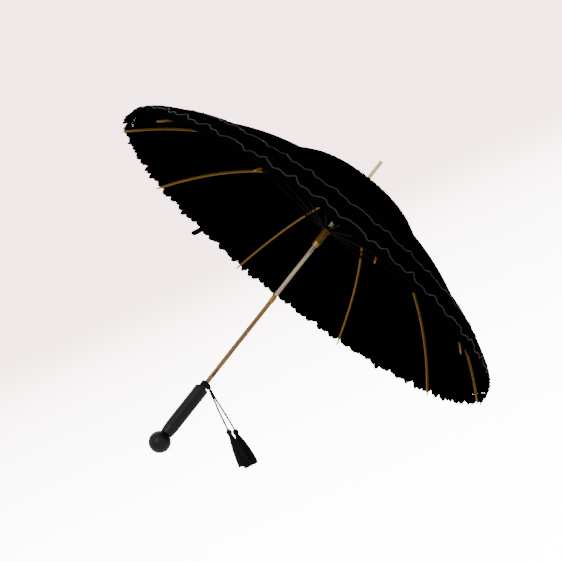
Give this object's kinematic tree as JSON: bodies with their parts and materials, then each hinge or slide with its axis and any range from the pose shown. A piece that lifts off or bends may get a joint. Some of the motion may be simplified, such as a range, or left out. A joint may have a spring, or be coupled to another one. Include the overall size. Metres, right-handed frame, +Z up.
{
  "type": "lace parasol",
  "caption": "Folding lace parasol with a gathered rim flounce and crown frill, a two-part shaft with a sliding runner, a straight grip with a ball end, and two tassels.",
  "frame": {"origin": "centre of the grip, where a hand holds the parasol", "axes": "+Z up, with the tassels hanging plumb; the shaft rises 24.3 degrees from the grip towards +X, and +Y lies across the canopy"},
  "size_m": [0.6179, 0.8256, 0.7548],
  "materials": {
    "handle_wood": "dark stained, satin",
    "shaft_wood": "brown-gold stained, streaky",
    "pale_shaft": "pale, satin",
    "gilt": "ochre gilt, satin",
    "rib_wood": "ochre varnished",
    "pale_brass": "pale, polished",
    "black_wire": "black japanned",
    "spring_steel": "darkened spring steel",
    "black_lace": "black cotton lace",
    "black_cord": "black rayon thread"
  },
  "bodies": {
    "shaft": {"ball": "handle_wood", "grip": "handle_wood", "lower_shaft": "shaft_wood", "joint_ferrule": "gilt", "upper_shaft": "pale_shaft", "tip_ferrule": "pale_brass", "crown_cap": "black_lace", "notch": "black_wire", "notch_wire": "spring_steel", "tassel_knot": "black_cord", "cord_1": "black_cord", "cord_2": "black_cord", "tassel_1": "black_cord", "tassel_2": "black_cord"},
    "runner": {"runner_tube": "gilt", "runner_crown": "black_wire", "runner_wire": "spring_steel"},
    "top_catch": {"top_catch": "spring_steel"},
    "bottom_catch": {"bottom_catch": "spring_steel"},
    "rib_1": {"rib_1": "rib_wood", "rib_fittings_1": "gilt", "canopy_panel_1": "black_lace"},
    "stretcher_1": {"stretcher_1": "black_wire"},
    "rib_2": {"rib_2": "rib_wood", "rib_fittings_2": "gilt", "canopy_panel_2": "black_lace"},
    "stretcher_2": {"stretcher_2": "black_wire"},
    "rib_3": {"rib_3": "rib_wood", "rib_fittings_3": "gilt", "canopy_panel_3": "black_lace", "closing_strap": "black_lace"},
    "stretcher_3": {"stretcher_3": "black_wire"},
    "rib_4": {"rib_4": "rib_wood", "rib_fittings_4": "gilt", "canopy_panel_4": "black_lace"},
    "stretcher_4": {"stretcher_4": "black_wire"},
    "rib_5": {"rib_5": "rib_wood", "rib_fittings_5": "gilt", "canopy_panel_5": "black_lace"},
    "stretcher_5": {"stretcher_5": "black_wire"},
    "rib_6": {"rib_6": "rib_wood", "rib_fittings_6": "gilt", "canopy_panel_6": "black_lace"},
    "stretcher_6": {"stretcher_6": "black_wire"},
    "rib_7": {"rib_7": "rib_wood", "rib_fittings_7": "gilt", "canopy_panel_7": "black_lace"},
    "stretcher_7": {"stretcher_7": "black_wire"},
    "rib_8": {"rib_8": "rib_wood", "rib_fittings_8": "gilt", "canopy_panel_8": "black_lace"},
    "stretcher_8": {"stretcher_8": "black_wire"},
    "rib_9": {"rib_9": "rib_wood", "rib_fittings_9": "gilt", "canopy_panel_9": "black_lace"},
    "stretcher_9": {"stretcher_9": "black_wire"},
    "rib_10": {"rib_10": "rib_wood", "rib_fittings_10": "gilt", "canopy_panel_10": "black_lace"},
    "stretcher_10": {"stretcher_10": "black_wire"}
  },
  "joints": [
    {"name": "fold", "type": "hinge", "parent": "shaft", "child": "rib_1", "pos_m": [0.46677, 0.0026, 0.20199], "axis": [-0.1272, 0.9511, 0.2816], "range_deg": [0, 60], "deforming": ["canopy_panel_1", "top_catch", "bottom_catch"]},
    {"name": "stretcher_1_hinge", "type": "hinge", "parent": "rib_1", "child": "stretcher_1", "pos_m": [0.50842, 0.06659, 0.00469], "axis": [-0.1272, 0.9511, 0.2816], "range_deg": [-120, 0]},
    {"name": "rib_2_hinge", "type": "hinge", "parent": "shaft", "child": "rib_2", "pos_m": [0.46551, 0.0068, 0.20477], "axis": [-0.3329, 0.5878, 0.7373], "range_deg": [0, 60], "deforming": ["canopy_panel_2"]},
    {"name": "stretcher_2_hinge", "type": "hinge", "parent": "rib_2", "child": "stretcher_2", "pos_m": [0.47621, 0.17434, 0.07604], "axis": [-0.3329, 0.5878, 0.7373], "range_deg": [-120, 0]},
    {"name": "rib_3_hinge", "type": "hinge", "parent": "shaft", "child": "rib_3", "pos_m": [0.46348, 0.0084, 0.20927], "axis": [-0.4115, 0, 0.9114], "range_deg": [0, 60], "deforming": ["canopy_panel_3"]},
    {"name": "stretcher_3_hinge", "type": "hinge", "parent": "rib_3", "child": "stretcher_3", "pos_m": [0.42408, 0.2155, 0.19148], "axis": [-0.4115, 0, 0.9114], "range_deg": [-120, 0]},
    {"name": "rib_4_hinge", "type": "hinge", "parent": "shaft", "child": "rib_4", "pos_m": [0.46145, 0.0068, 0.21377], "axis": [-0.3329, -0.5878, 0.7373], "range_deg": [0, 60], "deforming": ["canopy_panel_4"]},
    {"name": "stretcher_4_hinge", "type": "hinge", "parent": "rib_4", "child": "stretcher_4", "pos_m": [0.37196, 0.17434, 0.30693], "axis": [-0.3329, -0.5878, 0.7373], "range_deg": [-120, 0]},
    {"name": "rib_5_hinge", "type": "hinge", "parent": "shaft", "child": "rib_5", "pos_m": [0.46019, 0.0026, 0.21655], "axis": [-0.1272, -0.9511, 0.2816], "range_deg": [0, 60], "deforming": ["canopy_panel_5"]},
    {"name": "stretcher_5_hinge", "type": "hinge", "parent": "rib_5", "child": "stretcher_5", "pos_m": [0.33974, 0.06659, 0.37827], "axis": [-0.1272, -0.9511, 0.2816], "range_deg": [-120, 0]},
    {"name": "rib_6_hinge", "type": "hinge", "parent": "shaft", "child": "rib_6", "pos_m": [0.46019, -0.0026, 0.21655], "axis": [0.1272, -0.9511, -0.2816], "range_deg": [0, 60], "deforming": ["canopy_panel_6"]},
    {"name": "stretcher_6_hinge", "type": "hinge", "parent": "rib_6", "child": "stretcher_6", "pos_m": [0.33974, -0.06659, 0.37827], "axis": [0.1272, -0.9511, -0.2816], "range_deg": [-120, 0]},
    {"name": "rib_7_hinge", "type": "hinge", "parent": "shaft", "child": "rib_7", "pos_m": [0.46145, -0.0068, 0.21377], "axis": [0.3329, -0.5878, -0.7373], "range_deg": [0, 60], "deforming": ["canopy_panel_7"]},
    {"name": "stretcher_7_hinge", "type": "hinge", "parent": "rib_7", "child": "stretcher_7", "pos_m": [0.37196, -0.17434, 0.30693], "axis": [0.3329, -0.5878, -0.7373], "range_deg": [-120, 0]},
    {"name": "rib_8_hinge", "type": "hinge", "parent": "shaft", "child": "rib_8", "pos_m": [0.46348, -0.0084, 0.20927], "axis": [0.4115, 0, -0.9114], "range_deg": [0, 60], "deforming": ["canopy_panel_8"]},
    {"name": "stretcher_8_hinge", "type": "hinge", "parent": "rib_8", "child": "stretcher_8", "pos_m": [0.42408, -0.2155, 0.19148], "axis": [0.4115, 0, -0.9114], "range_deg": [-120, 0]},
    {"name": "rib_9_hinge", "type": "hinge", "parent": "shaft", "child": "rib_9", "pos_m": [0.46551, -0.0068, 0.20477], "axis": [0.3329, 0.5878, -0.7373], "range_deg": [0, 60], "deforming": ["canopy_panel_9"]},
    {"name": "stretcher_9_hinge", "type": "hinge", "parent": "rib_9", "child": "stretcher_9", "pos_m": [0.47621, -0.17434, 0.07604], "axis": [0.3329, 0.5878, -0.7373], "range_deg": [-120, 0]},
    {"name": "rib_10_hinge", "type": "hinge", "parent": "shaft", "child": "rib_10", "pos_m": [0.46677, -0.0026, 0.20199], "axis": [0.1272, 0.9511, -0.2816], "range_deg": [0, 60], "deforming": ["canopy_panel_10"]},
    {"name": "stretcher_10_hinge", "type": "hinge", "parent": "rib_10", "child": "stretcher_10", "pos_m": [0.50842, -0.06659, 0.00469], "axis": [0.1272, 0.9511, -0.2816], "range_deg": [-120, 0]},
    {"name": "runner_travel", "type": "hinge", "parent": "stretcher_1", "child": "runner", "pos_m": [0.38798, 0.0026, 0.16641], "axis": [-0.1272, 0.9511, 0.2816], "range_deg": [0, 60]},
    {"name": "top_catch_press", "type": "hinge", "parent": "shaft", "child": "top_catch", "pos_m": [0.33447, -0.0009, 0.15102], "axis": [-0.4115, 0, 0.9114], "range_deg": [0, 11], "stiffness_Nm_per_rad": 0.02},
    {"name": "bottom_catch_press", "type": "hinge", "parent": "shaft", "child": "bottom_catch", "pos_m": [0.0875, -0.0009, 0.0395], "axis": [0.4115, 0, -0.9114], "range_deg": [0, 9], "stiffness_Nm_per_rad": 0.02}
  ],
  "couplings": [
    {"joint": "stretcher_1_hinge", "follows": "fold", "ratio": -2},
    {"joint": "rib_2_hinge", "follows": "fold", "ratio": 1},
    {"joint": "stretcher_2_hinge", "follows": "fold", "ratio": -2},
    {"joint": "rib_3_hinge", "follows": "fold", "ratio": 1},
    {"joint": "stretcher_3_hinge", "follows": "fold", "ratio": -2},
    {"joint": "rib_4_hinge", "follows": "fold", "ratio": 1},
    {"joint": "stretcher_4_hinge", "follows": "fold", "ratio": -2},
    {"joint": "rib_5_hinge", "follows": "fold", "ratio": 1},
    {"joint": "stretcher_5_hinge", "follows": "fold", "ratio": -2},
    {"joint": "rib_6_hinge", "follows": "fold", "ratio": 1},
    {"joint": "stretcher_6_hinge", "follows": "fold", "ratio": -2},
    {"joint": "rib_7_hinge", "follows": "fold", "ratio": 1},
    {"joint": "stretcher_7_hinge", "follows": "fold", "ratio": -2},
    {"joint": "rib_8_hinge", "follows": "fold", "ratio": 1},
    {"joint": "stretcher_8_hinge", "follows": "fold", "ratio": -2},
    {"joint": "rib_9_hinge", "follows": "fold", "ratio": 1},
    {"joint": "stretcher_9_hinge", "follows": "fold", "ratio": -2},
    {"joint": "rib_10_hinge", "follows": "fold", "ratio": 1},
    {"joint": "stretcher_10_hinge", "follows": "fold", "ratio": -2},
    {"joint": "runner_travel", "follows": "fold", "ratio": 1}
  ]
}
